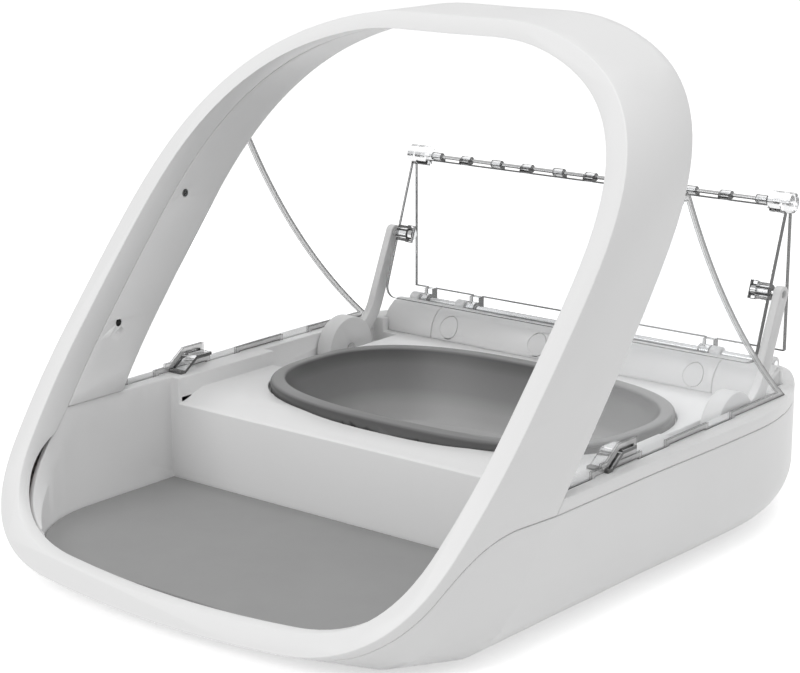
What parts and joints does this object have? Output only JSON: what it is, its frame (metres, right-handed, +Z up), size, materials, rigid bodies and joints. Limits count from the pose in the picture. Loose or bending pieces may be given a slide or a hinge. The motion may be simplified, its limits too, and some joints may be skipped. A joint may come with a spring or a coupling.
{
  "type": "microchip pet feeder",
  "caption": "Low white pet feeder with a leaning open hoop, an eating bay with a mat, a lift-out bowl and a motor-driven folding clear lid that opens towards the back.",
  "frame": {"origin": "on the floor under the middle of the feeder's width and length", "axes": "+X the animal's left to right, +Y from the lip to the back, +Z up"},
  "size_m": [0.23, 0.316, 0.1983],
  "materials": {
    "white_shell": "white moulded plastic, satin",
    "mat_rubber": "mid grey, matt",
    "smoke_bowl": "dark smoked plastic, glossy",
    "clear_plastic": "clear polycarbonate, polished",
    "steel_pin": "bright steel",
    "grey_arm": "pale grey moulded plastic",
    "gear_nylon": "natural nylon",
    "inner_plastic": "unpolished moulding",
    "motor_can": "plated steel can",
    "circuit_green": "green board",
    "copper": "enamelled copper winding",
    "sensor_black": "infrared-clear black plastic",
    "cell_wrap": "sleeved dry cells",
    "button_grey": "pale grey, satin",
    "lamp_lens": "milky light pipe",
    "foot_rubber": "black rubber"
  },
  "bodies": {
    "casing": {"antenna_coil": "copper", "arm_axle_left": "steel_pin", "arm_axle_right": "steel_pin", "arm_bracket_left": "inner_plastic", "arm_bracket_right": "inner_plastic", "base_shell": "white_shell", "battery_cells": "cell_wrap", "battery_contacts": "steel_pin", "battery_tray": "inner_plastic", "case_screws": "steel_pin", "deck": "white_shell", "drive_motor": "motor_can", "gearbox_housing": "inner_plastic", "hinge_cover_centre": "white_shell", "hinge_cover_left": "white_shell", "hinge_cover_right": "white_shell", "hoop_front_shell": "white_shell", "hoop_rear_shell": "white_shell", "ir_emitters": "sensor_black", "ir_receivers": "sensor_black", "lid_keeper_left": "clear_plastic", "lid_keeper_right": "clear_plastic", "lid_rear_hinge_pin": "steel_pin", "main_circuit_board": "circuit_green", "micro_switches": "circuit_green", "rear_cover": "white_shell", "ridge_plugs": "white_shell", "rubber_feet": "foot_rubber", "shaft_bracket_left": "inner_plastic", "shaft_bracket_right": "inner_plastic", "shaft_bush_left": "gear_nylon", "shaft_bush_right": "gear_nylon", "side_window_left": "clear_plastic", "side_window_right": "clear_plastic", "status_lamp": "lamp_lens"},
    "lid_rear": {"lid_rear_panel": "clear_plastic", "lid_mid_hinge_pin": "steel_pin"},
    "lid_front": {"lid_front_panel": "clear_plastic", "lid_pin_left": "steel_pin", "lid_pin_right": "steel_pin"},
    "arm_left": {"arm_left": "grey_arm"},
    "arm_right": {"arm_right": "grey_arm"},
    "drive": {"drive_shaft": "steel_pin", "drive_pinion_left": "gear_nylon", "drive_pinion_right": "gear_nylon"},
    "bowl": {"bowl": "smoke_bowl"},
    "mat": {"bay_mat": "mat_rubber"},
    "door_left": {"battery_door_left": "white_shell"},
    "door_right": {"battery_door_right": "white_shell"},
    "button_add_pet": {"button_add_pet": "button_grey"},
    "button_lid": {"button_lid": "button_grey"}
  },
  "joints": [
    {"name": "lid_rear_hinge", "type": "hinge", "parent": "casing", "child": "lid_rear", "pos_m": [0, 0.1015, 0.0575], "axis": [1, 0, 0], "range_deg": [0, 90]},
    {"name": "lid_front_hinge", "type": "hinge", "parent": "lid_rear", "child": "lid_front", "pos_m": [0, 0.1046, 0.123], "axis": [1, 0, 0], "range_deg": [-157.2, 0]},
    {"name": "arm_left_swing", "type": "hinge", "parent": "casing", "child": "arm_left", "pos_m": [0, 0.0565, 0.04275], "axis": [1, 0, 0], "range_deg": [0, 113.25]},
    {"name": "arm_right_swing", "type": "hinge", "parent": "casing", "child": "arm_right", "pos_m": [0, 0.0565, 0.04275], "axis": [1, 0, 0], "range_deg": [0, 113.25]},
    {"name": "drive_shaft_turn", "type": "hinge", "parent": "casing", "child": "drive", "pos_m": [0, 0.07305, 0.02982], "axis": [1, 0, 0], "range_deg": [-184, 0]},
    {"name": "bowl_lift", "type": "slide", "parent": "casing", "child": "bowl", "axis": [0, 0, 1], "range_m": [0, 0.05]},
    {"name": "mat_lift", "type": "slide", "parent": "casing", "child": "mat", "axis": [0, 0, 1], "range_m": [0, 0.03]},
    {"name": "battery_door_left_off", "type": "slide", "parent": "casing", "child": "door_left", "axis": [0, 0, -1], "range_m": [0, 0.03]},
    {"name": "battery_door_right_off", "type": "slide", "parent": "casing", "child": "door_right", "axis": [0, 0, -1], "range_m": [0, 0.03]},
    {"name": "button_add_pet_press", "type": "slide", "parent": "casing", "child": "button_add_pet", "axis": [0, 0, -1], "range_m": [0, 0.001], "stiffness_N_per_m": 500},
    {"name": "button_lid_press", "type": "slide", "parent": "casing", "child": "button_lid", "axis": [0, 0, -1], "range_m": [0, 0.001], "stiffness_N_per_m": 500}
  ],
  "couplings": [
    {"joint": "lid_front_hinge", "follows": "lid_rear_hinge", "ratio": -1.7456},
    {"joint": "arm_left_swing", "follows": "lid_rear_hinge", "ratio": 1.2572},
    {"joint": "arm_right_swing", "follows": "lid_rear_hinge", "ratio": 1.2572},
    {"joint": "drive_shaft_turn", "follows": "lid_rear_hinge", "ratio": -2.043}
  ]
}
